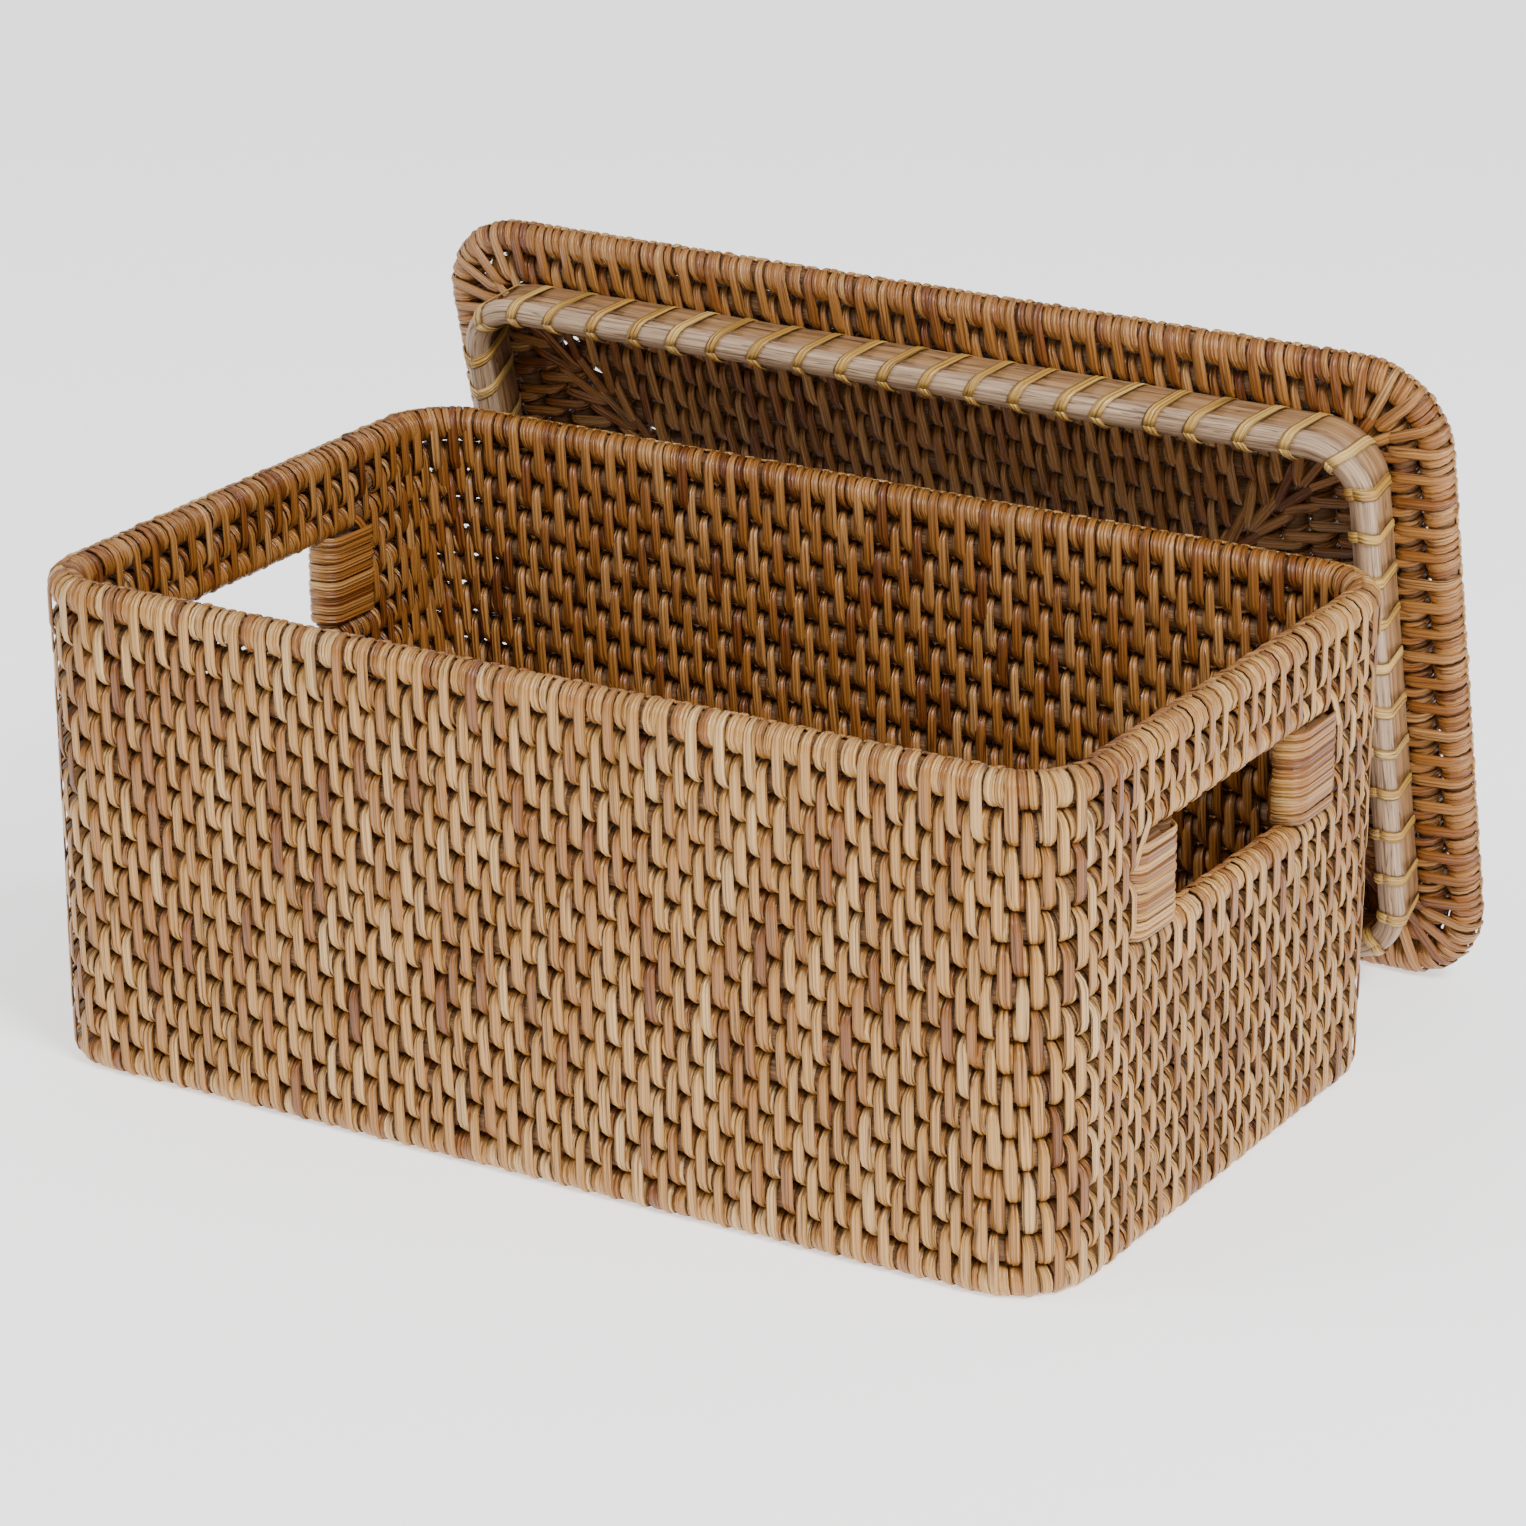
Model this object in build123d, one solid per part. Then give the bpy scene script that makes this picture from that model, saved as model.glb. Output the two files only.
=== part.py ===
from build123d import *
from math import cos, radians, sin
import os

# Lidded basket of bound round rods. Millimetres, +Z up. The origin is on the floor under the
# middle of the basket, +X points to its right end, and -Y is its front. The lid is off: it
# stands on its long edge behind the basket and leans on the back of the rim, underside forward.

# basket, overall
length = 452.0            # over the rim, end to end
width = 280.0             # over the rim, front to back
height = 200.0            # floor to the crest of the rim
corner_radius = 34.0      # plan radius over the outside of the rim
base_inset = 1.5          # how far each wall leans in at the foot

# rows of the wall
row_count = 16            # rim and foot included
rim_diameter = 15.0       # rim rod with its binding
row_gap = 0.15            # air between one bound row and the next
rim_core_diameter = 11.0
binding_thickness = 0.69  # least winding round the rod inside every other row
core_fit = 0.08           # play between a rod and its binding, each side

# bottom panel of the basket
base_loop_count = 10      # loops inside the foot row, round one straight middle rod
base_lift = 0.6           # the foot row alone touches the floor
bend_radius = 7.4         # tightest centre-line bend of a bound rod
middle_gap = 1.5          # from each end of a middle rod to the loop round it

# hand openings in the end walls
opening_width = 97.0
opening_first_row = 4     # rows 4 to 6 stop at the opening
opening_row_count = 3
post_width = 35.0         # bound part beside the opening
post_thickness = 14.6     # through the wall
winding_thickness = 1.7
post_rod_diameter = 9.6   # upright rod at the opening's edge

# lid
lid_overhang = 2.0        # lid past the rim, each side
lid_corner_radius = 38.0
lid_border_diameter = 14.6
lid_border_core_diameter = 10.8
lid_loop_count = 10       # loops inside the border, round one straight middle rod
ring_corner_radius = 22.0
ring_rod_diameter = 10.8
ring_band_thickness = 4.6
ring_band_height = 15.0   # from the panel to the rod
lashing_pitch = 19.0      # along the ring
lashing_width = 4.2
lashing_thickness = 0.9
lashing_fit = 0.15

# how the lid stands
lid_tilt = 14.0           # degrees from upright, towards the basket
lean_gap = 0.4            # between ring and rim, so that the two bodies never bind
lid_shift = 3.0           # towards +X

# worked out
row_pitch = (height - rim_diameter) / (row_count - 1)
row_diameter = row_pitch - row_gap
wall_half_length = (length - rim_diameter) / 2
wall_half_width = (width - rim_diameter) / 2
wall_bend = corner_radius - rim_diameter / 2
foot_half_length = wall_half_length - base_inset
foot_half_width = wall_half_width - base_inset
base_diameter = ((foot_half_width - row_diameter / 2 - (base_loop_count + 1) * row_gap)
                 / (base_loop_count + 0.5))
base_pitch = base_diameter + row_gap
base_first = (row_diameter + base_diameter) / 2 + row_gap
base_z = base_lift + base_diameter / 2
post_end = opening_width / 2 + post_width
lid_half_length = length / 2 + lid_overhang - lid_border_diameter / 2
lid_half_width = width / 2 + lid_overhang - lid_border_diameter / 2
lid_diameter = ((lid_half_width - lid_border_diameter / 2 - (lid_loop_count + 1) * row_gap)
                / (lid_loop_count + 0.5))
lid_pitch = lid_diameter + row_gap
lid_first = (lid_border_diameter + lid_diameter) / 2 + row_gap
core_diameter = (min(row_diameter, base_diameter, lid_diameter)
                 - 2 * (binding_thickness + core_fit))
ring_step = lid_first + lid_pitch / 2    # the ring stands over the hollow between two loops
ring_half_length = lid_half_length - ring_step
ring_half_width = lid_half_width - ring_step
band_foot = lid_diameter / 2 + row_gap
band_top = band_foot + ring_band_height
ring_rod_z = band_top + row_gap + ring_rod_diameter / 2
ring_crest = ring_rod_z + ring_rod_diameter / 2 + lashing_fit + lashing_thickness

os.makedirs("parts", exist_ok=True)


def save(shape, node):
    shape.label = node
    export_step(shape, f"parts/{node}.step")


def row_z(row):
    # rows count from 1 at the rim down to the foot
    if row == 1:
        return height - rim_diameter / 2
    return height - rim_diameter - (row - 1.5) * row_pitch


def row_inset(row):
    return base_inset * (row - 1) / (row_count - 1)


def loop(half_length, half_width, radius, z):
    return Pos(0, 0, z) * RectangleRounded(2 * half_length, 2 * half_width, radius).wire()


def along(path, outer, inner=0.0):
    # a round bar, or a tube when inner is given, that follows the path
    section = Circle(outer / 2)
    if inner:
        section = section - Circle(inner / 2)
    return sweep(Plane(origin=path @ 0, z_dir=path % 0) * section, path=path)


def binding(path, outer, core):
    return along(path, outer, core + 2 * core_fit)


def half_row(row, end):
    # front half of a row that stops beside both hand openings, at y = -end
    hl = wall_half_length - row_inset(row)
    hw = wall_half_width - row_inset(row)
    return Pos(0, 0, row_z(row)) * FilletPolyline(
        (hl, -end), (hl, -hw), (-hl, -hw), (-hl, -end), radius=wall_bend)


def straight(half, outer, inner, z):
    tube = Cylinder(outer / 2, 2 * half, rotation=(0, 90, 0))
    if inner:
        tube -= Cylinder(inner / 2, 2 * half, rotation=(0, 90, 0))
    return Pos(0, 0, z) * tube


# wall rows: each a round rod inside its binding
opening_rows = range(opening_first_row, opening_first_row + opening_row_count)
rod_stop = opening_width / 2 + winding_thickness + post_rod_diameter + 2 * core_fit
wall_cores = []
for row in range(1, row_count + 1):
    inset = row_inset(row)
    outer = rim_diameter if row == 1 else row_diameter
    core = rim_core_diameter if row == 1 else core_diameter
    if row in opening_rows:
        cover = binding(half_row(row, post_end + row_gap), outer, core)
        rod = along(half_row(row, rod_stop), core)
        save(Compound([cover, mirror(cover, about=Plane.XZ)]), f"wall_binding_{row:02d}")
        wall_cores += [rod, mirror(rod, about=Plane.XZ)]
        continue
    path = loop(wall_half_length - inset, wall_half_width - inset, wall_bend, row_z(row))
    name = {1: "rim_binding", row_count: "foot_binding"}.get(row, f"wall_binding_{row:02d}")
    save(binding(path, outer, core), name)
    if row == 1:
        save(along(path, core), "rim_core")
    else:
        wall_cores.append(along(path, core))
save(Compound(wall_cores), "wall_cores")

# posts beside the hand openings: an upright rod and the row ends, wound round with strip
post_top = height - rim_diameter - (opening_first_row - 2) * row_pitch
post_bottom = post_top - opening_row_count * row_pitch
post_height = post_top - post_bottom - 2 * row_gap
post_z = (post_top + post_bottom) / 2
for end, side_x in (("left", -1), ("right", 1)):
    x = side_x * (wall_half_length - row_inset(opening_first_row + 1))
    for place, side_y in (("front", -1), ("rear", 1)):
        y = side_y * (opening_width / 2 + post_width / 2)
        shell = SlotOverall(post_width, post_thickness, rotation=90)
        shell -= SlotOverall(
            post_width - 2 * winding_thickness, post_thickness - 2 * winding_thickness, rotation=90)
        winding = Pos(x, y, post_bottom + row_gap) * extrude(shell, post_height)
        for row in opening_rows:
            hole = Cylinder(core_diameter / 2 + core_fit, post_width, rotation=(90, 0, 0))
            hole_x = side_x * (wall_half_length - row_inset(row))
            winding -= Pos(hole_x, side_y * post_end, row_z(row)) * hole
        save(winding, f"handle_post_winding_{place}_{end}")
        rod_y = side_y * (opening_width / 2 + winding_thickness + core_fit + post_rod_diameter / 2)
        rod = Pos(x, rod_y, post_z) * Cylinder(post_rod_diameter / 2, post_height)
        save(rod, f"handle_post_rod_{place}_{end}")

# bottom panel: loops that step in from the foot row, round a straight middle rod
base_cores = []
for number in range(1, base_loop_count + 1):
    step = base_first + (number - 1) * base_pitch
    bend = max(wall_bend - step, bend_radius)
    path = loop(foot_half_length - step, foot_half_width - step, bend, base_z)
    save(binding(path, base_diameter, core_diameter), f"base_binding_{number}")
    base_cores.append(along(path, core_diameter))
middle = foot_half_length - step - base_diameter / 2 - middle_gap
save(straight(middle, base_diameter, core_diameter + 2 * core_fit, base_z), "base_middle_binding")
base_cores.append(straight(middle, core_diameter, 0, base_z))
save(Compound(base_cores), "base_cores")

# the lid is drawn flat, underside up, with its mid plane at z = 0, then stood up
rim_y = wall_half_width
rim_z = height - rim_diameter / 2
edge_z = lid_border_diameter / 2
reach = ring_crest + rim_diameter / 2 + lean_gap + (rim_z - edge_z) * sin(radians(lid_tilt))
edge_y = rim_y + reach / cos(radians(lid_tilt))
stand = Pos(lid_shift, edge_y, edge_z) * Rot(90 + lid_tilt, 0, 0) * Pos(0, lid_half_width, 0)

lid_bend = lid_corner_radius - lid_border_diameter / 2
border = loop(lid_half_length, lid_half_width, lid_bend, 0)
save(stand * binding(border, lid_border_diameter, lid_border_core_diameter), "lid_border_binding")
save(stand * along(border, lid_border_core_diameter), "lid_border_core")
lid_cores = []
for number in range(1, lid_loop_count + 1):
    step = lid_first + (number - 1) * lid_pitch
    bend = max(lid_bend - step, bend_radius)
    path = loop(lid_half_length - step, lid_half_width - step, bend, 0)
    save(stand * binding(path, lid_diameter, core_diameter), f"lid_binding_{number}")
    lid_cores.append(stand * along(path, core_diameter))
middle = lid_half_length - step - lid_diameter / 2 - middle_gap
save(stand * straight(middle, lid_diameter, core_diameter + 2 * core_fit, 0), "lid_middle_binding")
lid_cores.append(stand * straight(middle, core_diameter, 0, 0))
save(Compound(lid_cores), "lid_cores")

# locating ring on the underside: a flat cane band on edge, a round rod on its crest
ring = loop(ring_half_length, ring_half_width, ring_corner_radius, ring_rod_z)
save(stand * along(ring, ring_rod_diameter), "lid_ring_rod")
half_band = ring_band_thickness / 2
band_plan = RectangleRounded(2 * (ring_half_length + half_band),
                             2 * (ring_half_width + half_band), ring_corner_radius + half_band)
band_plan -= RectangleRounded(2 * (ring_half_length - half_band),
                              2 * (ring_half_width - half_band), ring_corner_radius - half_band)
save(stand * Pos(0, 0, band_foot) * extrude(band_plan, ring_band_height), "lid_ring_band")

# strips that tie the rod down on the band, at even steps along the straight stretches
inner_radius = ring_rod_diameter / 2 + lashing_fit
leg = ring_rod_z - band_foot
legs = Pos(0, -leg / 2) * Rectangle(2 * (half_band + lashing_fit + lashing_thickness), leg)
slot = Pos(0, -leg / 2) * Rectangle(2 * (half_band + lashing_fit), leg)
strip = (Circle(inner_radius + lashing_thickness) + legs) - Circle(inner_radius) - slot
lashing = extrude(strip, lashing_width / 2, both=True)
lashings = []
for run, reach_out, along_y in ((ring_half_length, ring_half_width, False),
                                (ring_half_width, ring_half_length, True)):
    steps = int((run - ring_corner_radius - lashing_width) / lashing_pitch)
    for side in (-1, 1):
        for step in range(-steps, steps + 1):
            place = (step * lashing_pitch, side * reach_out, ring_rod_z)
            facing = Plane(origin=place, x_dir=(0, 1, 0), z_dir=(1, 0, 0))
            if along_y:
                place = (side * reach_out, step * lashing_pitch, ring_rod_z)
                facing = Plane(origin=place, x_dir=(1, 0, 0), z_dir=(0, -1, 0))
            lashings.append(stand * facing.location * lashing)
save(Compound(lashings), "lid_ring_lashings")
print("row pitch", round(row_pitch, 3), "base pitch", round(base_pitch, 3),
      "lid pitch", round(lid_pitch, 3), "lid edge y", round(edge_y, 2))
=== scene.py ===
import bpy
import math
import numpy as np
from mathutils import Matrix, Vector


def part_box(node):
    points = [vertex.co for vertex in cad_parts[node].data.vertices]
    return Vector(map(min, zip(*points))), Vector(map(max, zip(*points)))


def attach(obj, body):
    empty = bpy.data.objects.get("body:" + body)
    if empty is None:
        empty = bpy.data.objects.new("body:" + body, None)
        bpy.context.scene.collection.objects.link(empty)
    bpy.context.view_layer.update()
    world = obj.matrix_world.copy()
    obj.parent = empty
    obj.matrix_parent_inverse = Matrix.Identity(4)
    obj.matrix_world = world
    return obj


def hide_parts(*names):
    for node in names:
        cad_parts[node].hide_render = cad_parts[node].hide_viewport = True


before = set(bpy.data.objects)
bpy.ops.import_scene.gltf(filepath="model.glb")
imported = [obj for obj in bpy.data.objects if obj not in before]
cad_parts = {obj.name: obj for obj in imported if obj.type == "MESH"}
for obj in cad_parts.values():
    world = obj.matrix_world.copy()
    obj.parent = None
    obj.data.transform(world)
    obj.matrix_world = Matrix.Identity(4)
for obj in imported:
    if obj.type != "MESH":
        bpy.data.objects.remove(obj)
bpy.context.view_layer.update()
rng = np.random.default_rng(41)


# camera first, everything below is judged through it
view = {"azimuth": 31.28, "elevation": 20.53, "distance": 2.130, "aimHeight": 0.1124,
        "lens": 130.74, "shiftX": 0.0335, "shiftY": 0.0152}


def makeCamera():
    a, e = math.radians(view["azimuth"]), math.radians(view["elevation"])
    back = Vector((math.sin(a) * math.cos(e), -math.cos(a) * math.cos(e), math.sin(e)))
    aim = Vector((0, 0, view["aimHeight"]))
    data = bpy.data.cameras.new("camera")
    data.lens, data.sensor_width = view["lens"], 36
    data.shift_x, data.shift_y = view["shiftX"], view["shiftY"]
    data.clip_start, data.clip_end = 0.05, 30
    cam = bpy.data.objects.new("camera", data)
    bpy.context.collection.objects.link(cam)
    cam.location = aim + back * view["distance"]
    cam.rotation_euler = back.to_track_quat("Z", "Y").to_euler()
    bpy.context.scene.camera = cam


makeCamera()


# small helpers

def deselect():
    if bpy.context.object and bpy.context.object.mode != "OBJECT":
        bpy.ops.object.mode_set(mode="OBJECT")
    bpy.ops.object.select_all(action="DESELECT")


def nodeBox(node):
    low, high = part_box(node)
    return np.array(low), np.array(high)


def unit(v):
    return v / np.maximum(np.linalg.norm(v, axis=-1, keepdims=True), 1e-12)


# a strip blank: a six-sided rod cut into steps along its length, later laid round the rods

def makeBlank(steps):
    deselect()
    bpy.ops.mesh.primitive_cylinder_add(vertices=6, radius=0.5, depth=1, location=(0, 0, 0.5))
    ob = bpy.context.object
    bpy.ops.object.mode_set(mode="EDIT")
    bpy.ops.mesh.select_all(action="SELECT")
    for i in range(1, steps):
        bpy.ops.mesh.select_all(action="SELECT")
        bpy.ops.mesh.bisect(plane_co=(0, 0, i / steps), plane_no=(0, 0, 1))
    bpy.ops.object.mode_set(mode="OBJECT")
    me = ob.data
    co = np.empty(len(me.vertices) * 3)
    me.vertices.foreach_get("co", co)
    co = co.reshape(-1, 3)
    # the rod's section becomes a crowned strip: across, up, along
    across, up, along = co[:, 1].copy(), co[:, 0].copy(), co[:, 2] + 0.5
    across = across / across.max() * 0.5
    up = (up - up.min()) / (up.max() - up.min())
    crown = np.where(np.abs(across) < 0.1, up, 0.25 + up * 0.75)
    faces = [list(p.vertices) for p in me.polygons]
    bpy.data.objects.remove(ob)
    sizes = np.array([len(f) for f in faces])
    loops = np.concatenate([np.array(f) for f in faces])
    return {"across": across, "up": crown, "along": along, "sizes": sizes, "loops": loops}


longBlank = makeBlank(16)
shortBlank = makeBlank(12)
print("strip blanks ready")


def wrapRound(along, quarter, run, d, radius):
    # a loop round two rods d apart (or one, when run is 0), in the plane up the wall and out of it
    # it starts on top of the upper rod, comes down the front and goes back up behind
    y = along[None, :] * np.ones((len(d), 1))
    d = d[:, None]
    radius = radius[:, None]
    a0, a1 = quarter, quarter + run
    a2, a3 = a1 + 2 * quarter, a1 + 2 * quarter + run
    turn = np.where(y < a0, y / a0 * 90,
           np.where(y < a1, 90,
           np.where(y < a2, 90 + (y - a1) / (a2 - a1) * 180,
           np.where(y < a3, 270, 270 + (y - a3) / a0 * 90))))
    turn = np.radians(turn)
    slide = np.clip((y - a0) / max(run, 1e-6), 0, 1) if run else (y > 0.5) * 0.0
    backUp = np.clip((y - a2) / max(run, 1e-6), 0, 1) if run else 0.0
    centre = -d * (slide - backUp) if run else 0 * y
    outUp, outFront = np.cos(turn), np.sin(turn)
    return centre + radius * outUp, radius * outFront, outUp, outFront


def layStrips(blank, top, low, tangent, pitch, look):
    # lays one copy of the blank at each station; top and low are the rods' middles
    n = len(top)
    axis = top - low
    d = np.linalg.norm(axis, axis=1)
    single = look.get("single", False)
    if single:
        up = look["up"]
        d = np.zeros(n)
    else:
        up = axis / d[:, None]
    tangent = unit(tangent - up * np.sum(tangent * up, axis=1, keepdims=True))
    front = np.cross(tangent, up)
    quarter, run = (0.25, 0.0) if single else (3 / 16, 2 / 16)
    along = blank["along"]
    rise = look["thickness"] * (1 + rng.uniform(-0.12, 0.12, n))
    radius = look["radius"] + rng.uniform(-1, 1, n) * look.get("loose", 0.0001)
    a, f, outA, outF = wrapRound(along, quarter, run, d, radius)
    height = blank["up"][None, :] * rise[:, None]
    wide = look["width"] * (1 + rng.uniform(-1, 1, n) * look.get("widthVary", 0.13))
    if "wider" in look:
        wide = wide * look["wider"]
    taper = 1 - look.get("taper", 0.2) * np.abs(np.cos(np.pi * along * 2)) ** 3
    slant = (look["slant"] + rng.normal(0, look.get("slantVary", 0.045), n)) * pitch
    back = look.get("advance", 0.5) * pitch
    fore = np.clip(along * 2, 0, 1)[None, :]
    aft = np.clip(along * 2 - 1, 0, 1)[None, :]
    shift = slant[:, None] * (fore - 0.5) + (back - slant)[:, None] * aft
    shift = shift - look.get("sag", 0.0) * np.sin(np.pi * fore) * (1 - aft)
    shift = shift + rng.normal(0, look.get("wander", 0.03), n)[:, None] * pitch
    shift = shift + blank["across"][None, :] * wide[:, None] * taper[None, :]
    if "pinch" in look:
        f = f * (1 - look["pinch"] * np.clip(-a / look["drop"], 0, 1))
    bulge = look.get("bulge", 0.0) * np.sin(np.pi * fore) * (1 - aft)
    pos = (top[:, None, :] + up[:, None, :] * (a + outA * height)[:, :, None]
           + front[:, None, :] * (f + outF * height + bulge)[:, :, None]
           + tangent[:, None, :] * shift[:, :, None])
    tone = rng.random(n)
    return {"pos": pos.reshape(-1, 3), "blank": blank, "count": n,
            "across": np.tile(blank["across"] + 0.5, n), "along": np.tile(along, n),
            "tone": np.repeat(tone, len(along)), "seed": np.repeat(rng.random(n), len(along))}


def buildPiece(name, batches, material, body, nodes):
    # one mesh from several batches of strips
    verts, loops, sizes, uv, tone, seed = [], [], [], [], [], []
    base = 0
    for b in batches:
        if b is None or b["count"] == 0:
            continue
        k = len(b["blank"]["across"])
        n = b["count"]
        verts.append(b["pos"])
        lo = b["blank"]["loops"]
        all_ = (lo[None, :] + (np.arange(n) * k)[:, None]).reshape(-1) + base
        loops.append(all_)
        sizes.append(np.tile(b["blank"]["sizes"], n))
        local = all_ - base
        uv.append(np.stack([b["across"][local], b["along"][local]], -1))
        tone.append(b["tone"])
        seed.append(b["seed"])
        base += n * k
    verts = np.concatenate(verts)
    loops = np.concatenate(loops)
    sizes = np.concatenate(sizes)
    uv = np.concatenate(uv)
    me = bpy.data.meshes.new(name)
    me.vertices.add(len(verts))
    me.vertices.foreach_set("co", verts.astype(np.float32).ravel())
    me.loops.add(len(loops))
    me.loops.foreach_set("vertex_index", loops.astype(np.int32))
    me.polygons.add(len(sizes))
    starts = np.concatenate([[0], np.cumsum(sizes)[:-1]])
    me.polygons.foreach_set("loop_start", starts.astype(np.int32))
    me.update(calc_edges=True)
    layer = me.uv_layers.new(name="strip")
    layer.data.foreach_set("uv", uv.astype(np.float32).ravel())
    for label, values in (("tone", np.concatenate(tone)), ("seed", np.concatenate(seed))):
        attr = me.attributes.new(label, "FLOAT", "POINT")
        attr.data.foreach_set("value", values.astype(np.float32))
    me.polygons.foreach_set("use_smooth", np.ones(len(sizes), dtype=bool))
    me.validate()
    ob = bpy.data.objects.new(name, me)
    bpy.context.collection.objects.link(ob)
    me.materials.append(material)
    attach(ob, body)
    if nodes:
        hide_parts(*nodes)
    return ob


# rod paths: rounded rectangles in the plane (ex, ey) about a middle point

def rodPath(middle, ex, ey, halfU, halfV, bend, fine=0.0008):
    corners = [(halfU - bend, -halfV + bend, -90), (halfU - bend, halfV - bend, 0),
               (-halfU + bend, halfV - bend, 90), (-halfU + bend, -halfV + bend, 180)]
    pts, tans = [], []
    # side order: front (+u), right (+v), back, left; the path starts at the front's left end
    order = [(-halfU + bend, -halfV, halfU - bend, -halfV, 0), (halfU, -halfV + bend, halfU, halfV - bend, 1),
             (halfU - bend, halfV, -halfU + bend, halfV, 2), (-halfU, halfV - bend, -halfU, -halfV + bend, 3)]
    for x0, y0, x1, y1, k in order:
        n = max(2, int(math.hypot(x1 - x0, y1 - y0) / fine))
        t = np.linspace(0, 1, n, endpoint=False)[:, None]
        pts.append(np.array([x0, y0]) + t * np.array([x1 - x0, y1 - y0]))
        d = np.array([x1 - x0, y1 - y0]) / math.hypot(x1 - x0, y1 - y0)
        tans.append(np.repeat(d[None, :], n, 0))
        cx, cy, a0 = corners[k]
        m = max(4, int(bend * math.pi / 2 / fine))
        a = np.radians(a0 + 90 * np.linspace(0, 1, m, endpoint=False))
        pts.append(np.stack([cx + bend * np.cos(a), cy + bend * np.sin(a)], -1))
        tans.append(np.stack([-np.sin(a), np.cos(a)], -1))
    flat = np.concatenate(pts)
    tan = np.concatenate(tans)
    step = np.linalg.norm(np.roll(flat, -1, 0) - flat, axis=1)
    length = np.concatenate([[0], np.cumsum(step)[:-1]])
    world = np.array(middle) + flat[:, :1] * ex + flat[:, 1:] * ey
    return {"flat": flat, "points": world, "tangents": tan[:, :1] * ex + tan[:, 1:] * ey,
            "at": length, "total": step.sum(), "half": (halfU, halfV), "bend": bend,
            "ex": ex, "ey": ey, "normal": np.cross(ex, ey)}


def pick(path, s):
    s = np.mod(s, path["total"])
    i = np.clip(np.searchsorted(path["at"], s) - 1, 0, len(path["at"]) - 1)
    return path["points"][i], path["tangents"][i], path["flat"][i]


def stations(path, pitch, phase):
    # even steps along each straight side, counted from its middle, so that rows keep in step,
    # and whole steps round the bends
    halfU, halfV = path["half"]
    bend = path["bend"]
    runs = [halfU - bend, halfV - bend, halfU - bend, halfV - bend]
    arc = bend * math.pi / 2
    starts, s = [], 0.0
    for run in runs:
        starts.append(s)
        s += 2 * run + arc
    found = []
    for k, run in enumerate(runs):
        mid = starts[k] + run
        first = math.ceil((-run) / pitch - phase)
        last = math.floor(run / pitch - phase)
        found.append([mid + (j + phase) * pitch for j in range(first, last + 1)] or [mid])
    out = []
    for k in range(4):
        out += found[k]
        nxt = found[(k + 1) % 4][0] + (path["total"] if k == 3 else 0)
        gap = nxt - found[k][-1]
        n = max(1, int(round(gap / pitch * 1.18)))
        out += [found[k][-1] + gap * j / n for j in range(1, n)]
    return np.array(out)


def nearest(path, pts):
    out = np.empty_like(pts)
    for i, p in enumerate(pts):
        out[i] = path["points"][np.argmin(((path["points"] - p) ** 2).sum(1))]
    return out


def bindRow(path, nextPath, pitch, phase, look, keep=None, widen=None, upAxis=None):
    # long stitches that tie this rod to the next, short ones round this rod between them
    s = stations(path, pitch, phase)
    gap = np.diff(np.concatenate([s, [s[0] + path["total"]]]))
    mid = s + gap / 2
    out = []
    p, t, flat = pick(path, s)
    ok = np.ones(len(s), bool) if keep is None else keep(p)
    p, t = p[ok], t[ok]
    if nextPath is not None:
        q = nearest(nextPath, p)
        tied = np.linalg.norm(q - p, axis=1) < look["reach"]
        long = dict(look["long"])
        if widen is not None:
            long["wider"] = widen(p[tied])
        out.append(layStrips(longBlank, p[tied], q[tied], t[tied], pitch, long))
        loose, looseT = p[~tied], t[~tied]
    else:
        loose, looseT = p, t
    p2, t2, _ = pick(path, mid)
    ok = np.ones(len(mid), bool) if keep is None else keep(p2)
    short = dict(look["short"])
    pts = np.concatenate([loose, p2[ok]])
    tts = np.concatenate([looseT, t2[ok]])
    if "strands" in short:
        # two narrow turns side by side
        pts = np.concatenate([pts - tts * short["strands"], pts + tts * short["strands"]])
        tts = np.concatenate([tts, tts])
    if upAxis is None:
        up = unit(np.cross(tts, path["normal"]))     # away from the panel's middle
    else:
        up = np.repeat(np.array(upAxis)[None, :], len(pts), 0)
    short["single"], short["up"] = True, up
    if widen is not None:
        short["wider"] = widen(pts)
    out.append(layStrips(shortBlank, pts, pts - up * 0.01, tts, pitch, short))
    return out


# materials

def newGroup(name, inputs, outputs):
    group = bpy.data.node_groups.new(name, "ShaderNodeTree")
    for label, kind, value in inputs:
        sock = group.interface.new_socket(label, in_out="INPUT", socket_type=kind)
        sock.default_value = value
    for label, kind in outputs:
        group.interface.new_socket(label, in_out="OUTPUT", socket_type=kind)
    return group, group.nodes.new("NodeGroupInput"), group.nodes.new("NodeGroupOutput")


def mathNode(tree, kind, a, b=None, clamp=False):
    node = tree.nodes.new("ShaderNodeMath")
    node.operation, node.use_clamp = kind, clamp
    for i, v in enumerate((a, b)):
        if v is None:
            continue
        if hasattr(v, "links"):
            tree.links.new(v, node.inputs[i])
        else:
            node.inputs[i].default_value = v
    return node.outputs[0]


def mixColour(tree, kind, factor, a, b):
    node = tree.nodes.new("ShaderNodeMix")
    node.data_type, node.blend_type = "RGBA", kind
    for sock, v in ((node.inputs["Factor"], factor), (node.inputs[6], a), (node.inputs[7], b)):
        if hasattr(v, "links"):
            tree.links.new(v, sock)
        elif isinstance(v, tuple):
            sock.default_value = (*v, 1)
        else:
            sock.default_value = v
    return node.outputs[2]


def mapRange(tree, value, low, high, toLow=0.0, toHigh=1.0):
    node = tree.nodes.new("ShaderNodeMapRange")
    tree.links.new(value, node.inputs[0])
    for i, v in enumerate((low, high, toLow, toHigh)):
        node.inputs[i + 1].default_value = v
    return node.outputs[0]


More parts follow.
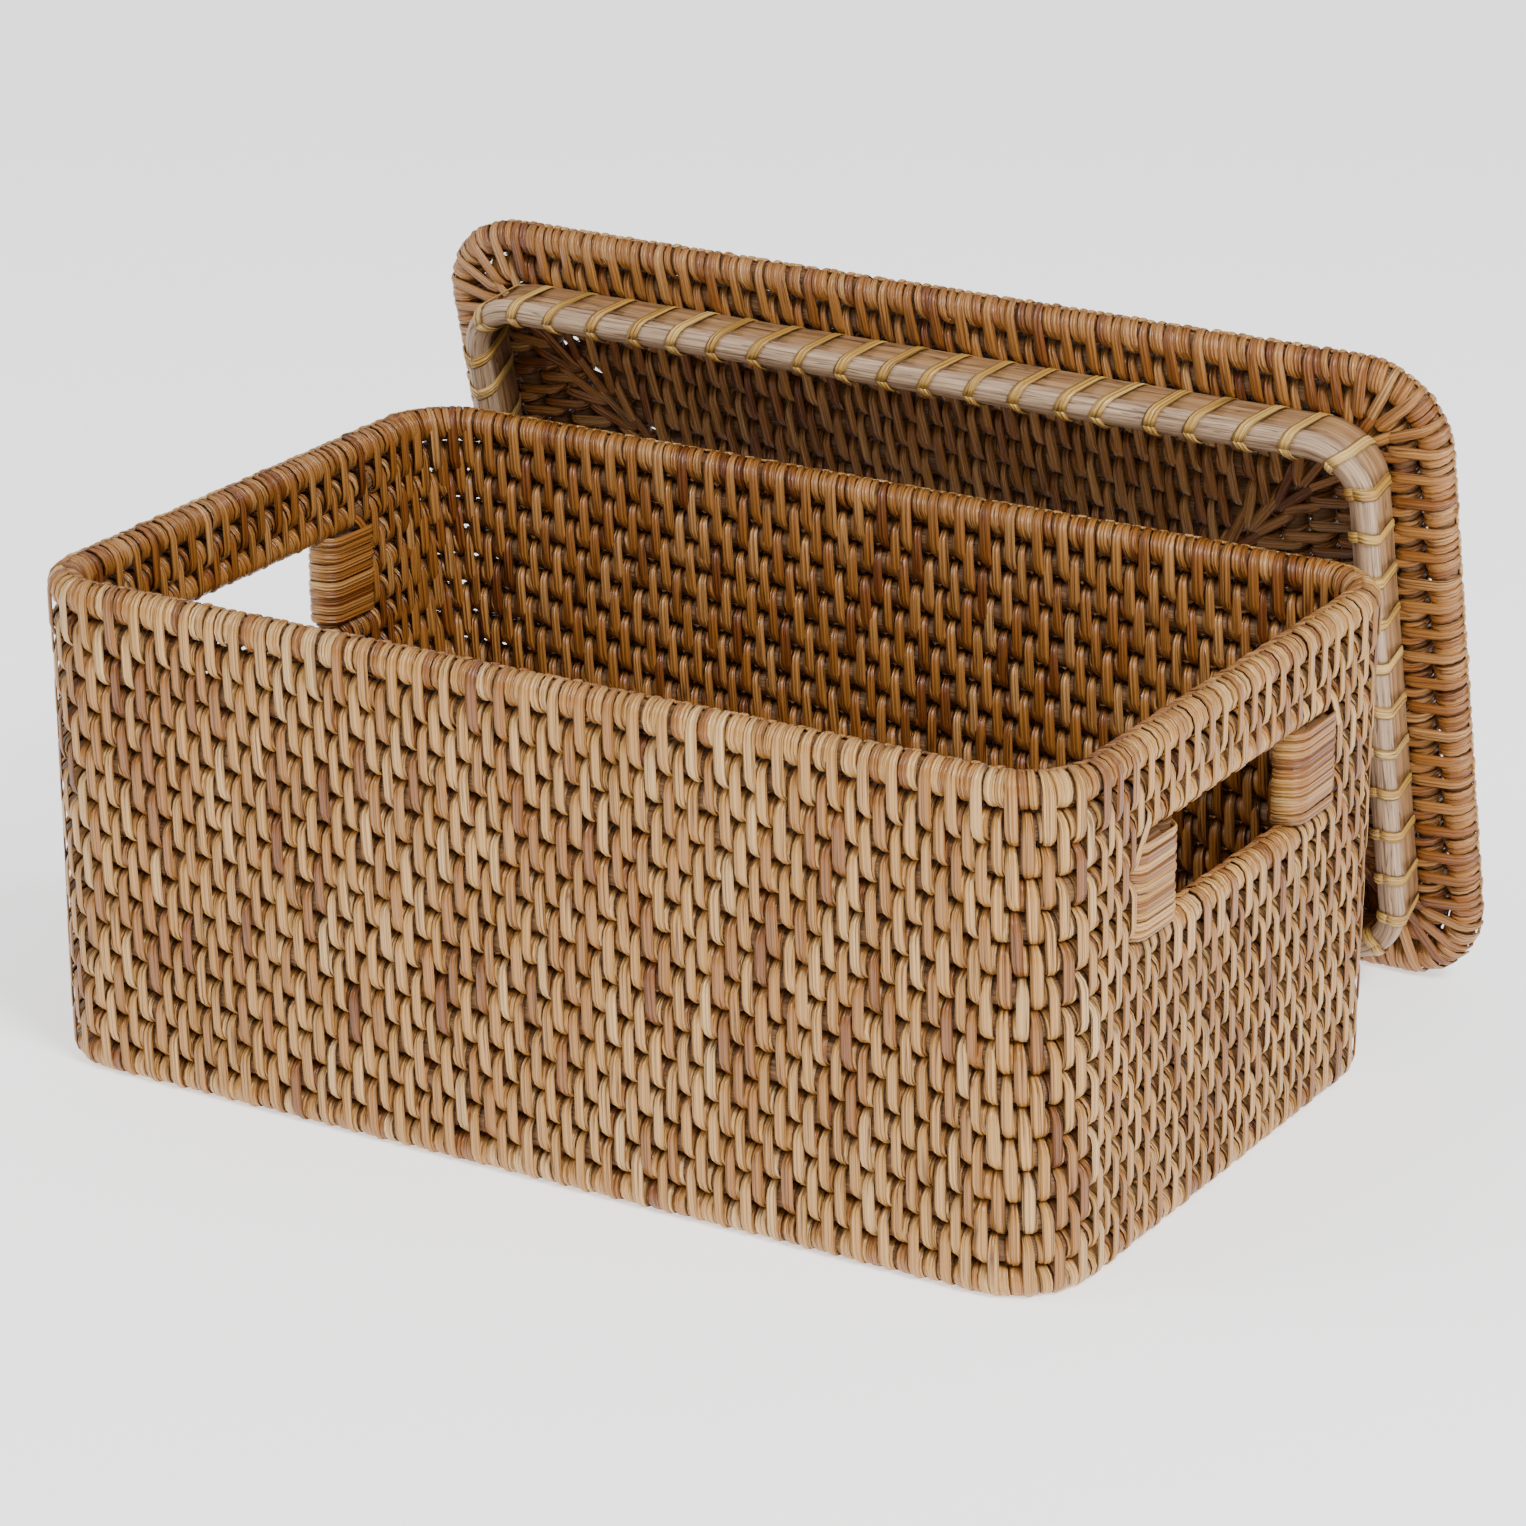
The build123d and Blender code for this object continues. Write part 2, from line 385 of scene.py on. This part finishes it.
def makeStreakGroup():
    # fine fibres along a strip, from across and along the strip and its own seed, with a painted shade mask for
    # the grooves between the ridges
    group, inp, out = newGroup("stripFibres", [
        ("Across", "NodeSocketFloat", 0.5), ("Along", "NodeSocketFloat", 0.5),
        ("Seed", "NodeSocketFloat", 0.5), ("Fineness", "NodeSocketFloat", 9.0)],
        [("Fibre", "NodeSocketFloat"), ("Split", "NodeSocketFloat"), ("GrooveShade", "NodeSocketFloat"),
         ("Relief", "NodeSocketFloat")])
    wide = mathNode(group, "MULTIPLY", inp.outputs["Across"], inp.outputs["Fineness"])
    length = mathNode(group, "MULTIPLY", inp.outputs["Along"], 1.6)
    own = mathNode(group, "MULTIPLY", inp.outputs["Seed"], 57.0)
    vec = group.nodes.new("ShaderNodeCombineXYZ")
    for i, v in enumerate((wide, length, own)):
        group.links.new(v, vec.inputs[i])
    fine = group.nodes.new("ShaderNodeTexNoise")
    fine.inputs["Scale"].default_value, fine.inputs["Detail"].default_value = 1.0, 3.0
    fine.inputs["Roughness"].default_value = 0.65
    group.links.new(vec.outputs[0], fine.inputs["Vector"])
    # a few deep splits, narrow and dark
    vec2 = group.nodes.new("ShaderNodeCombineXYZ")
    wide2 = mathNode(group, "MULTIPLY", inp.outputs["Across"], 3.4)
    len2 = mathNode(group, "MULTIPLY", inp.outputs["Along"], 0.7)
    own2 = mathNode(group, "ADD", own, 13.7)
    for i, v in enumerate((wide2, len2, own2)):
        group.links.new(v, vec2.inputs[i])
    deep = group.nodes.new("ShaderNodeTexNoise")
    deep.inputs["Scale"].default_value, deep.inputs["Detail"].default_value = 1.0, 0.0
    group.links.new(vec2.outputs[0], deep.inputs["Vector"])
    off = mathNode(group, "ABSOLUTE", mathNode(group, "SUBTRACT", deep.outputs[0], 0.5))
    split = mapRange(group, off, 0.0, 0.028, 1.0, 0.0)
    # three shallow ridges, moved sideways a little in each strip; they shape the bump, and their troughs give the
    # painted groove shade
    turn = mathNode(group, "MULTIPLY", inp.outputs["Across"], 18.0)
    wave = mathNode(group, "SINE", mathNode(group, "ADD", turn, own))
    ridge = mathNode(group, "MULTIPLY", wave, 0.45)
    relief = mathNode(group, "SUBTRACT", mathNode(group, "MULTIPLY", fine.outputs[0], 0.7), split)
    relief = mathNode(group, "ADD", relief, ridge)
    group.links.new(mapRange(group, wave, -1.0, -0.4, 1.0, 0.0), out.inputs["GrooveShade"])
    group.links.new(fine.outputs[0], out.inputs["Fibre"])
    group.links.new(split, out.inputs["Split"])
    group.links.new(relief, out.inputs["Relief"])
    return group


def makeGrainGroup():
    # streaks along a rod, read in object space: the rod's lengthwise directions are stretched
    group, inp, out = newGroup("rodGrain", [
        ("Place", "NodeSocketVector", (0, 0, 0)), ("Scale", "NodeSocketFloat", 1.0)],
        [("Grain", "NodeSocketFloat"), ("Blotch", "NodeSocketFloat")])
    grain = group.nodes.new("ShaderNodeTexNoise")
    grain.inputs["Detail"].default_value, grain.inputs["Roughness"].default_value = 4.0, 0.7
    group.links.new(inp.outputs["Place"], grain.inputs["Vector"])
    group.links.new(inp.outputs["Scale"], grain.inputs["Scale"])
    blotch = group.nodes.new("ShaderNodeTexNoise")
    blotch.inputs["Detail"].default_value = 2.0
    slow = mathNode(group, "MULTIPLY", inp.outputs["Scale"], 0.08)
    group.links.new(inp.outputs["Place"], blotch.inputs["Vector"])
    group.links.new(slow, blotch.inputs["Scale"])
    group.links.new(grain.outputs[0], out.inputs["Grain"])
    group.links.new(blotch.outputs[0], out.inputs["Blotch"])
    return group


streakGroup = makeStreakGroup()
grainGroup = makeGrainGroup()


def startMaterial(name):
    mat = bpy.data.materials.new(name)
    mat.use_nodes = True
    tree = mat.node_tree
    return mat, tree, tree.nodes["Principled BSDF"]


def attribute(tree, name):
    node = tree.nodes.new("ShaderNodeAttribute")
    node.attribute_name = name
    return node.outputs["Fac"]


def peelMaterial(name, look):
    mat, tree, bsdf = startMaterial(name)
    uv = tree.nodes.new("ShaderNodeUVMap")
    uv.uv_map = "strip"
    sep = tree.nodes.new("ShaderNodeSeparateXYZ")
    tree.links.new(uv.outputs[0], sep.inputs[0])
    tone, seed = attribute(tree, "tone"), attribute(tree, "seed")
    fib = tree.nodes.new("ShaderNodeGroup")
    fib.node_tree = streakGroup
    fib.inputs["Fineness"].default_value = look["fineness"]
    tree.links.new(sep.outputs[0], fib.inputs["Across"])
    tree.links.new(sep.outputs[1], fib.inputs["Along"])
    tree.links.new(seed, fib.inputs["Seed"])
    ramp = tree.nodes.new("ShaderNodeValToRGB")
    stops = look["tones"]
    ramp.color_ramp.elements[0].position, ramp.color_ramp.elements[0].color = 0, (*stops[0][1], 1)
    ramp.color_ramp.elements[1].position, ramp.color_ramp.elements[1].color = 1, (*stops[-1][1], 1)
    for place, colour in stops[1:-1]:
        el = ramp.color_ramp.elements.new(place)
        el.color = (*colour, 1)
    tree.links.new(tone, ramp.inputs[0])
    light = mapRange(tree, fib.outputs["Fibre"], 0.3, 0.7)
    dark = mixColour(tree, "MULTIPLY", look["streak"], ramp.outputs[0], look["fibreStreakAndGrooveShade"])
    colour = mixColour(tree, "MIX", light, dark, ramp.outputs[0])
    # painted shade: both long edges of each strip are darkened, standing in for the shade in the gaps between
    # neighbouring strips
    edge = mathNode(tree, "ABSOLUTE", mathNode(tree, "SUBTRACT", sep.outputs[0], 0.5))
    edgeShadeMask = mapRange(tree, edge, 0.3, 0.5)
    colour = mixColour(tree, "MIX", mathNode(tree, "MULTIPLY", edgeShadeMask, 0.35), colour, look["edge"])
    split = mathNode(tree, "MULTIPLY", fib.outputs["Split"], 0.8)
    colour = mixColour(tree, "MIX", split, colour, look["split"])
    # painted shade: the troughs between the ridges are darkened with the fibre dark colour
    grooveShadeMask = mathNode(tree, "MULTIPLY", fib.outputs["GrooveShade"], look["grooveShadeDepth"])
    colour = mixColour(tree, "MULTIPLY", grooveShadeMask, colour, look["fibreStreakAndGrooveShade"])
    # painted shade: the back half of a strip, on the inside of the work, is made duller and browner, standing in
    # for the dimmer light there
    behind = mapRange(tree, sep.outputs[1], 0.5, 0.62)
    behind = mathNode(tree, "MULTIPLY", behind, look["behind"])
    colour = mixColour(tree, "MULTIPLY", behind, colour, look["behindTint"])
    tree.links.new(colour, bsdf.inputs["Base Color"])
    rough = mapRange(tree, fib.outputs["Fibre"], 0.3, 0.7, look["rough"] + 0.12, look["rough"])
    tree.links.new(rough, bsdf.inputs["Roughness"])
    bsdf.inputs["Specular IOR Level"].default_value = look["specular"]
    bump = tree.nodes.new("ShaderNodeBump")
    bump.inputs["Strength"].default_value = look["bump"]
    bump.inputs["Distance"].default_value = 0.0004
    tree.links.new(fib.outputs["Relief"], bump.inputs["Height"])
    tree.links.new(bump.outputs[0], bsdf.inputs["Normal"])
    return mat


def rodMaterial(name, look):
    mat, tree, bsdf = startMaterial(name)
    coord = tree.nodes.new("ShaderNodeTexCoord")
    place = tree.nodes.new("ShaderNodeMapping")
    place.inputs["Rotation"].default_value = look.get("turn", (0, 0, 0))
    place.inputs["Scale"].default_value = look["stretch"]
    tree.links.new(coord.outputs["Object"], place.inputs["Vector"])
    grain = tree.nodes.new("ShaderNodeGroup")
    grain.node_tree = grainGroup
    grain.inputs["Scale"].default_value = look["scale"]
    tree.links.new(place.outputs[0], grain.inputs["Place"])
    g = mapRange(tree, grain.outputs["Grain"], 0.33, 0.67)
    colour = mixColour(tree, "MIX", g, look["dark"], look["light"])
    b = mapRange(tree, grain.outputs["Blotch"], 0.4, 0.6)
    colour = mixColour(tree, "MULTIPLY", mathNode(tree, "MULTIPLY", b, look["blotch"]), colour, look["stain"])
    tree.links.new(colour, bsdf.inputs["Base Color"])
    bsdf.inputs["Roughness"].default_value = look["rough"]
    bsdf.inputs["Specular IOR Level"].default_value = 0.35
    bump = tree.nodes.new("ShaderNodeBump")
    bump.inputs["Strength"].default_value = look["bump"]
    bump.inputs["Distance"].default_value = 0.0005
    tree.links.new(grain.outputs["Grain"], bump.inputs["Height"])
    tree.links.new(bump.outputs[0], bsdf.inputs["Normal"])
    return mat


peelLook = {
    "tones": [(0.0, (0.27, 0.10, 0.025)), (0.14, (0.46, 0.21, 0.05)), (0.5, (0.62, 0.34, 0.095)),
              (0.88, (0.72, 0.43, 0.15)), (1.0, (0.80, 0.54, 0.24))],
    # the edge colour is painted shade for the long edges of each strip
    "streak": 0.8, "fibreStreakAndGrooveShade": (0.52, 0.36, 0.20), "edge": (0.26, 0.10, 0.025),
    "split": (0.08, 0.025, 0.006),
    # the behind amount and tint paint shade on the inside of the work
    "behind": 0.7, "behindTint": (0.60, 0.42, 0.26), "fineness": 11.0, "rough": 0.27,
    # the fibre dark colour darkens fibre streaks and, scaled by the ridges value, paints shade in the grooves
    "specular": 0.5, "bump": 1.0, "grooveShadeDepth": 0.5}
peel = peelMaterial("peelBinding", peelLook)
lashLook = dict(peelLook,
                tones=[(0.0, (0.54, 0.32, 0.07)), (0.5, (0.68, 0.44, 0.11)), (1.0, (0.78, 0.55, 0.20))],
                behind=0.0, fineness=6.0, rough=0.32)
lashPeel = peelMaterial("lashingPeel", lashLook)
coreRod = rodMaterial("rattanRod", {"stretch": (8, 8, 420), "scale": 4.0, "dark": (0.05, 0.022, 0.009),
    "light": (0.32, 0.165, 0.065), "blotch": 0.6, "stain": (0.55, 0.42, 0.32), "rough": 0.62, "bump": 0.5})


def caneMaterial(name, look):
    # fibres that run along a swept rod or band, from its own way round and metres along
    mat, tree, bsdf = startMaterial(name)
    uv = tree.nodes.new("ShaderNodeUVMap")
    uv.uv_map = "strip"
    place = tree.nodes.new("ShaderNodeMapping")
    place.inputs["Scale"].default_value = look["stretch"]
    tree.links.new(uv.outputs[0], place.inputs["Vector"])
    grain = tree.nodes.new("ShaderNodeGroup")
    grain.node_tree = grainGroup
    grain.inputs["Scale"].default_value = 1.0
    tree.links.new(place.outputs[0], grain.inputs["Place"])
    crack = tree.nodes.new("ShaderNodeTexNoise")
    crack.inputs["Scale"].default_value, crack.inputs["Detail"].default_value = 0.8, 1.0
    tree.links.new(place.outputs[0], crack.inputs["Vector"])
    g = mapRange(tree, grain.outputs["Grain"], 0.34, 0.66)
    colour = mixColour(tree, "MIX", g, look["dark"], look["light"])
    near = mathNode(tree, "ABSOLUTE", mathNode(tree, "SUBTRACT", crack.outputs[0], 0.5))
    line = mapRange(tree, near, 0.0, look["lineWidth"], look["lines"], 0.0)
    colour = mixColour(tree, "MIX", line, colour, look["line"])
    b = mapRange(tree, grain.outputs["Blotch"], 0.42, 0.58)
    colour = mixColour(tree, "MULTIPLY", mathNode(tree, "MULTIPLY", b, look["blotch"]), colour, look["stain"])
    tree.links.new(colour, bsdf.inputs["Base Color"])
    bsdf.inputs["Roughness"].default_value = look["rough"]
    bump = tree.nodes.new("ShaderNodeBump")
    bump.inputs["Strength"].default_value = 0.6
    bump.inputs["Distance"].default_value = 0.0004
    tree.links.new(mathNode(tree, "SUBTRACT", grain.outputs["Grain"], line), bump.inputs["Height"])
    tree.links.new(bump.outputs[0], bsdf.inputs["Normal"])
    return mat


paleRod = caneMaterial("paleRattan", {"stretch": (26, 22, 1), "dark": (0.20, 0.115, 0.06),
    "light": (0.56, 0.39, 0.25), "lines": 0.9, "lineWidth": 0.022, "line": (0.09, 0.045, 0.02), "blotch": 0.5,
    "stain": (0.72, 0.60, 0.46), "rough": 0.55})
caneBand = caneMaterial("caneBand", {"stretch": (30, 16, 1), "dark": (0.16, 0.075, 0.03),
    "light": (0.44, 0.25, 0.11), "lines": 0.8, "lineWidth": 0.015, "line": (0.05, 0.02, 0.01), "blotch": 0.6,
    "stain": (0.60, 0.46, 0.34), "rough": 0.5})
print("materials ready")


# the wall

wall = {"pitch": 0.01165, "bend": 0.0265, "drift": 0.06, "rows": 16,
        "openHalf": 0.0485, "postWidth": 0.035, "railHalf": 0.054}
stitch = {
    "reach": 0.0175,
    "long": {"width": 0.0047, "thickness": 0.00120, "radius": 0.00522, "slant": 0.17, "taper": 0.30,
             "bulge": 0.0003, "loose": 0.00018, "wander": 0.035},
    "short": {"width": 0.0056, "thickness": 0.00095, "radius": 0.00514, "slant": 0.12, "taper": 0.1,
              "loose": 0.0001}}
rimStitch = {
    "reach": 0.0185,
    "long": dict(stitch["long"], width=0.0050, radius=0.0058, thickness=0.0015, widthVary=0.08),
    "short": dict(stitch["short"], width=0.0040, radius=0.0058, thickness=0.0013,
                  widthVary=0.12, strands=0.0017)}
axisX, axisY, axisZ = np.eye(3)


def rowNode(row):
    return {1: "rim_binding", wall["rows"]: "foot_binding"}.get(row, f"wall_binding_{row:02d}")


def flatPath(node, bend):
    low, high = nodeBox(node)
    thick = high[2] - low[2]
    middle = (low + high) / 2
    half = (high - low) / 2 - thick / 2
    return rodPath(middle, axisX, axisY, half[0], half[1], bend)


wallPaths = {row: flatPath(rowNode(row), wall["bend"]) for row in range(1, wall["rows"] + 1)}
openRows = (4, 5, 6)
wallEnd = wallPaths[4]["half"][0] - wall["bend"]


def besidePosts(p):
    # rows beside the hand openings stop at the posts
    return ~((np.abs(p[:, 0]) > wallEnd) & (np.abs(p[:, 1]) < wall["openHalf"] + wall["postWidth"] - 0.001))


def railWidth(p):
    # the row under a hand opening is wound closely there
    near = (np.abs(p[:, 0]) > wallEnd) & (np.abs(p[:, 1]) < wall["railHalf"])
    return np.where(near, 1.42, 1.0)


openPaths = {}
for row in range(1, wall["rows"] + 1):
    path = wallPaths[row]
    if row in openRows:
        cut = besidePosts(path["points"])
        openPaths[row] = {**path, "points": path["points"][cut]}
    else:
        openPaths[row] = path
for row in range(1, wall["rows"] + 1):
    nextPath = openPaths.get(row + 1)
    phase = (row % 2) * 0.5 + row * wall["drift"]
    batches = bindRow(wallPaths[row], nextPath, wall["pitch"], phase,
                      rimStitch if row == 1 else stitch,
                      keep=besidePosts if row in openRows else None,
                      widen=railWidth if row in (3, 7) else None, upAxis=(0, 0, 1))
    name = {1: "rimWinding", wall["rows"]: "footStitches"}.get(row, f"wallStitches{row:02d}")
    buildPiece(name, batches, peel, "basket", [rowNode(row)])
print("walls bound")


# the windings beside the hand openings: level turns of strip round the row ends

posts = {"pitch": 0.0037, "thickness": 0.0014, "width": 0.0040,
         "turns": {"front_left": {"slant": 0.25, "sag": 0.0}, "front_right": {"slant": -0.2, "sag": 0.0004},
                   "rear_left": {"slant": 1.5, "sag": -0.0004}, "rear_right": {"slant": 0.4, "sag": 0.0016}}}
for place, turn in posts["turns"].items():
    node = f"handle_post_winding_{place}"
    low, high = nodeBox(node)
    middle, span = (low + high) / 2, high - low
    inward = -axisY if middle[1] > 0 else axisY
    radius = span[0] / 2 - posts["thickness"]
    count = round(span[2] / posts["pitch"])
    pitch = span[2] / count
    levels = low[2] + pitch * (np.arange(count) + 0.5) - pitch * 0.2
    seam = middle - inward * (span[1] / 2 - span[0] / 2)
    far = middle + inward * (span[1] / 2 - span[0] / 2)
    top = np.repeat(seam[None, :], count, 0)
    low = np.repeat(far[None, :], count, 0)
    top[:, 2] = low[:, 2] = levels
    look = {"width": posts["width"], "thickness": posts["thickness"], "radius": radius, "taper": 0.0,
            "slant": turn["slant"], "slantVary": 0.12, "sag": turn["sag"], "advance": 1.0, "wander": 0.05,
            "loose": 0.0002, "widthVary": 0.06, "bulge": 0.0004}
    tangent = np.repeat(axisZ[None, :], count, 0)
    strips = layStrips(longBlank, top, low, tangent, pitch, look)
    buildPiece(f"postTurns{place.title().replace('_', '')}", [strips],
               peel, "basket", [node])
print("posts wound")


# flat panels: the bottom and the lid

floorPanel = {"pitch": 0.0116, "loops": 10, "tightBend": 0.0074}
basePaths, baseNames, baseNodes = [], [], []
outer = wallPaths[wall["rows"]]
for i in range(1, floorPanel["loops"] + 1):
    node = f"base_binding_{i}"
    low, high = nodeBox(node)
    step = outer["half"][0] - ((high - low)[0] - (high - low)[2]) / 2
    basePaths.append(flatPath(node, max(wall["bend"] - step, floorPanel["tightBend"])))
    baseNames.append(f"baseStitches{i:02d}")
    baseNodes.append(node)


def straightPath(node, ex, ey):
    # a middle rod, as a very flat loop so that it is bound like the others
    low, high = nodeBox(node)
    half = (high - low)[0] / 2
    return rodPath((low + high) / 2, ex, ey, half - 0.004, 0.0004, 0.00035)


def bindStraight(name, node, ex, up, pitch, look, body):
    low, high = nodeBox(node)
    middle, half = (low + high) / 2, (high - low)[0] / 2 - look["width"] / 2
    count = int(2 * half / (pitch / 2))
    xs = np.linspace(-half, half, count)
    pts = middle + xs[:, None] * ex
    tan = np.repeat(ex[None, :], count, 0)
    ups = np.repeat(np.array(up)[None, :], count, 0)
    one = dict(look, single=True, up=ups)
    strips = layStrips(shortBlank, pts, pts - ups * 0.01, tan, pitch, one)
    buildPiece(name, [strips], peel, body, [node])


middlePath = straightPath("base_middle_binding", axisX, axisY)
for i, path in enumerate(basePaths):
    nextPath = basePaths[i + 1] if i + 1 < len(basePaths) else middlePath
    batches = bindRow(path, nextPath, floorPanel["pitch"], (i % 2) * 0.5, stitch)
    buildPiece(baseNames[i], batches, peel, "basket", [baseNodes[i]])
bindStraight("baseMiddleStitches", "base_middle_binding", axisX, axisY, floorPanel["pitch"],
             stitch["short"], "basket")
print("bottom bound")

lid = {"tilt": math.radians(14), "borderBend": 0.0307, "loops": 10, "pitch": 0.0116, "tightBend": 0.0074}
lidUp = np.array([0, -math.sin(lid["tilt"]), math.cos(lid["tilt"])])
lidFace = np.array([0, -math.cos(lid["tilt"]), -math.sin(lid["tilt"])])
low, high = nodeBox("lid_border_binding")
lidMiddle = (low + high) / 2
rodLow, rodHigh = nodeBox("lid_middle_binding")
loopThick = (rodHigh - rodLow)[2]


def lidSpan(node, thick):
    low, high = nodeBox(node)
    halfU = ((high - low)[0] - thick) / 2
    halfV = ((high - low)[2] - thick) / 2 / math.cos(lid["tilt"])
    return halfU, halfV


# the tilted box gives the border's thickness: its height and depth both hold it once
tall, deep = (high - low)[2], (high - low)[1]
c, s = math.cos(lid["tilt"]), math.sin(lid["tilt"])
borderThick = (tall * s - deep * c) / (s - c)
halfU, halfV = lidSpan("lid_border_binding", borderThick)
lidPaths = [rodPath(lidMiddle, axisX, lidUp, halfU, halfV, lid["borderBend"])]
for i in range(1, lid["loops"] + 1):
    u, v = lidSpan(f"lid_binding_{i}", loopThick)
    bend = max(lid["borderBend"] - (halfU - u), lid["tightBend"])
    lidPaths.append(rodPath(lidMiddle, axisX, lidUp, u, v, bend))
lidRod = straightPath("lid_middle_binding", axisX, lidUp)
lidStitch = {"reach": 0.0195, "long": dict(stitch["long"], slant=0.06), "short": stitch["short"]}
borderStitch = {
    "reach": 0.021,
    "long": dict(rimStitch["long"], radius=0.0056),
    "short": dict(rimStitch["short"], radius=0.0056)}
for i, path in enumerate(lidPaths):
    nextPath = lidPaths[i + 1] if i + 1 < len(lidPaths) else lidRod
    batches = bindRow(path, nextPath, lid["pitch"], (i % 2) * 0.5, borderStitch if i == 0 else lidStitch)
    name = "lidBorderWinding" if i == 0 else f"lidStitches{i:02d}"
    node = "lid_border_binding" if i == 0 else f"lid_binding_{i}"
    buildPiece(name, batches, peel, "lid", [node])
bindStraight("lidMiddleStitches", "lid_middle_binding", axisX, lidUp, lid["pitch"], stitch["short"], "lid")
print("lid bound")


# the locating ring: a band on edge, a pale rod on its crest and the strips that tie them

def sweepRod(name, path, section, material, node, body, wobble=0.0, every=2):
    # carries a closed section (away from the panel, away from the middle) along the path
    keep = np.arange(0, len(path["points"]) - every + 1, every)
    pts, tan, at = path["points"][keep], path["tangents"][keep], path["at"][keep]
    out = np.cross(tan, path["normal"])
    n, k = len(pts), len(section)
    swell = 1 + wobble * (np.sin(at * 61 + 1) + np.sin(at * 143) * 0.6 + np.sin(at * 27 + 2)) / 2.6
    off = section[None, :, :] * swell[:, None, None]
    verts = pts[:, None, :] + off[:, :, :1] * path["normal"] + off[:, :, 1:] * out[:, None, :]
    i, j = np.meshgrid(np.arange(n), np.arange(k), indexing="ij")
    i2, j2 = (i + 1) % n, (j + 1) % k
    quads = np.stack([i * k + j, i * k + j2, i2 * k + j2, i2 * k + j], -1).reshape(-1, 4)
    at2 = np.append(at, path["total"])
    uv = np.stack([np.stack([j / k, at2[i]], -1), np.stack([(j + 1) / k, at2[i]], -1),
                   np.stack([(j + 1) / k, at2[i + 1]], -1), np.stack([j / k, at2[i + 1]], -1)], 2)
    me = bpy.data.meshes.new(name)
    me.from_pydata(verts.reshape(-1, 3).tolist(), [], quads.tolist())
    layer = me.uv_layers.new(name="strip")
    layer.data.foreach_set("uv", uv.reshape(-1).astype(np.float32))
    me.polygons.foreach_set("use_smooth", np.ones(len(quads), dtype=bool))
    me.materials.append(material)
    ob = bpy.data.objects.new(name, me)
    bpy.context.collection.objects.link(ob)
    deselect()
    ob.select_set(True)
    bpy.context.view_layer.objects.active = ob
    bpy.ops.object.mode_set(mode="EDIT")
    bpy.ops.mesh.select_all(action="SELECT")
    bpy.ops.mesh.normals_make_consistent(inside=False)
    bpy.ops.object.mode_set(mode="OBJECT")
    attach(ob, body)
    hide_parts(node)
    return ob


ring = {"bend": 0.022, "lashPitch": 0.0195, "bandDrop": 0.0150, "bandThick": 0.0046, "bandHeight": 0.0150}
low, high = nodeBox("lid_ring_rod")
tall, deep = (high - low)[2], (high - low)[1]
ringThick = (tall * s - deep * c) / (s - c)
ringU, ringV = lidSpan("lid_ring_rod", ringThick)
ringPath = rodPath((low + high) / 2, axisX, lidUp, ringU, ringV, ring["bend"])
angle = np.radians(np.arange(20) * 18 + 180)
roundSection = np.stack([np.cos(angle), np.sin(angle)], -1) * (ringThick / 2 - 0.0001)
rod = sweepRod("ringRod", ringPath, roundSection, paleRod, "lid_ring_rod", "lid", wobble=0.022)
topEdge = -ringThick / 2 - 0.0002
bottomEdge = topEdge - ring["bandHeight"] + 0.0002
halfBand = ring["bandThick"] / 2
lip = 0.0006
bandSection = np.array([(bottomEdge, -halfBand + lip), (bottomEdge + lip, -halfBand),
                        (topEdge - 0.005, -halfBand - 0.0001), (topEdge, -halfBand + lip),
                        (topEdge, halfBand - lip),
                        (topEdge - 0.005, halfBand + 0.0001),
                        (bottomEdge + lip, halfBand), (bottomEdge, halfBand - lip)])
band = sweepRod("ringBand", ringPath, bandSection, caneBand, "lid_ring_band", "lid")
where = stations(ringPath, ring["lashPitch"], 0.0)
where = where + rng.uniform(-0.0016, 0.0016, len(where))
points, tangents, _ = pick(ringPath, where)
lashing = {"width": 0.0050, "thickness": 0.0010, "radius": ringThick / 2 + 0.0001, "slant": -0.42,
           "slantVary": 0.06, "advance": 0.0, "wander": 0.0, "taper": 0.0, "pinch": 0.42, "drop": ring["bandDrop"],
           "loose": 0.0001}
strips = layStrips(longBlank, points, points - ringPath["normal"] * ring["bandDrop"], tangents,
                   ring["lashPitch"], lashing)
buildPiece("ringLashings", [strips], lashPeel, "lid", ["lid_ring_lashings"])
print("ring tied")


for node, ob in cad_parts.items():
    if node.endswith("_core") or node.endswith("_cores") or node.startswith("handle_post_rod"):
        for used in ob.material_slots:
            used.material = coreRod


# floor and light

def makeStage():
    deselect()
    bpy.ops.mesh.primitive_plane_add(size=14, location=(0, 0, 0))
    floor = bpy.context.object
    floor.name = "floor"
    mat, tree, bsdf = startMaterial("paleFloor")
    bsdf.inputs["Base Color"].default_value = (0.96, 0.96, 0.96, 1)
    bsdf.inputs["Roughness"].default_value = 0.9
    bsdf.inputs["Emission Color"].default_value = (1, 1, 1, 1)
    bsdf.inputs["Emission Strength"].default_value = 0.9
    floor.data.materials.append(mat)
    world = bpy.data.worlds.new("studio")
    world.use_nodes = True
    world.node_tree.nodes["Background"].inputs[0].default_value = (1, 1, 1, 1)
    world.node_tree.nodes["Background"].inputs[1].default_value = 0.75
    bpy.context.scene.world = world
    lamps = (("keyLight", (1.9, -0.9, 2.1), 0.9, 95), ("softLight", (-1.6, -1.4, 2.4), 1.2, 30))
    for name, place, size, power in lamps:
        data = bpy.data.lights.new(name, "AREA")
        data.size, data.energy = size, power
        lamp = bpy.data.objects.new(name, data)
        lamp.location = place
        lamp.rotation_euler = (Vector(place) - Vector((0, 0, 0.1))).to_track_quat("Z", "Y").to_euler()
        bpy.context.collection.objects.link(lamp)


makeStage()
print("stage ready")
